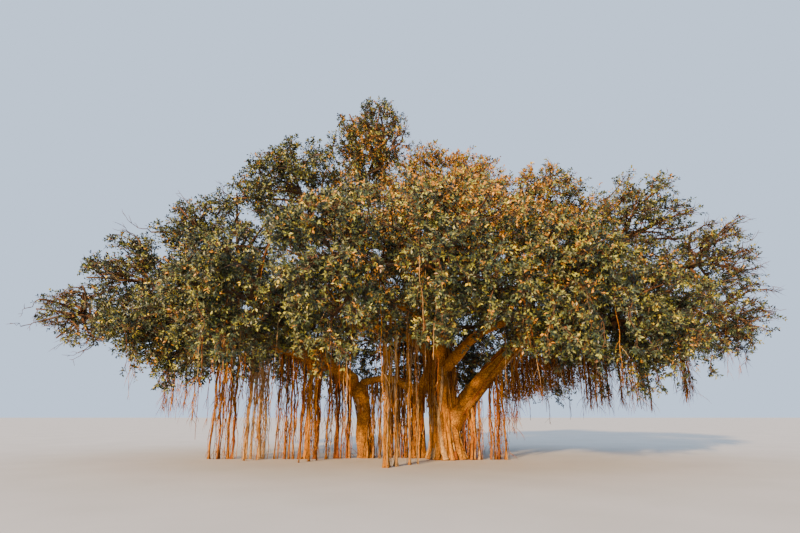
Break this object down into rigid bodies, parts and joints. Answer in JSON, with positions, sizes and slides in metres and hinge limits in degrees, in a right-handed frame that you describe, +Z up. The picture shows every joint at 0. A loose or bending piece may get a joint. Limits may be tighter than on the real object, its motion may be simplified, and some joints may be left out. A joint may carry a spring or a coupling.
{
  "type": "banyan tree",
  "caption": "Wide, low banyan tree with a fluted trunk, spreading boughs, rows of hanging and rooted aerial roots, and a crown of green and gold foliage masses, rooted in level ground.",
  "frame": {"origin": "middle of the main trunk's flat cut at ground level", "axes": "+Z up, +X to the right of the pictured view along the crown's length, +Y away from the viewer"},
  "size_m": [30.6511, 18.0795, 16.1567],
  "materials": {
    "bark": "rough weathered bark",
    "aerial_roots": "fibrous dry aerial roots",
    "foliage": "leathery leaves, satin above and dull below"
  },
  "bodies": {
    "root": {"trunk": "bark", "left_stem": "bark", "middle_stem": "bark", "cross_bough": "bark", "bough_top": "bark", "bough_right_outer": "bark", "bough_left_tip": "bark", "bough_upper_left": "bark", "bough_upper_right": "bark", "bough_right_shoulder": "bark", "bough_right_upper": "bark", "bough_right_tip": "bark", "bough_right_low": "bark", "bough_back_right": "bark", "bough_left_shoulder": "bark", "bough_left_outer": "bark", "bough_left_low": "bark", "bough_front_left": "bark", "bough_back_left_outer": "bark", "bough_front_centre": "bark", "bough_front_middle": "bark", "bough_front_right": "bark", "bough_back_left": "bark", "bough_back_middle": "bark", "roots_far_left": "aerial_roots", "roots_left_screen": "aerial_roots", "roots_left_posts": "aerial_roots", "roots_left_cords": "aerial_roots", "roots_left_pillars": "aerial_roots", "roots_stem_side": "aerial_roots", "roots_pale_ropes": "aerial_roots", "roots_middle_ropes": "aerial_roots", "roots_trunk_side": "aerial_roots", "roots_right_pillars": "aerial_roots", "roots_near_curtain": "aerial_roots", "roots_middle_curtain": "aerial_roots", "roots_right_curtain": "aerial_roots", "roots_far_curtain": "aerial_roots", "roots_far_right": "aerial_roots", "foliage_left_tip": "foliage", "foliage_left_outer": "foliage", "foliage_left_shoulder": "foliage", "foliage_upper_left": "foliage", "foliage_top": "foliage", "foliage_upper_right": "foliage", "foliage_right_shoulder": "foliage", "foliage_right_upper": "foliage", "foliage_right_outer": "foliage", "foliage_right_tip": "foliage", "foliage_left_low": "foliage", "foliage_front_left": "foliage", "foliage_front_middle": "foliage", "foliage_front_centre": "foliage", "foliage_front_right": "foliage", "foliage_right_low": "foliage", "foliage_back_left_outer": "foliage", "foliage_back_left": "foliage", "foliage_back_middle": "foliage", "foliage_back_right": "foliage", "foliage_inner": "foliage"}
  },
  "joints": []
}
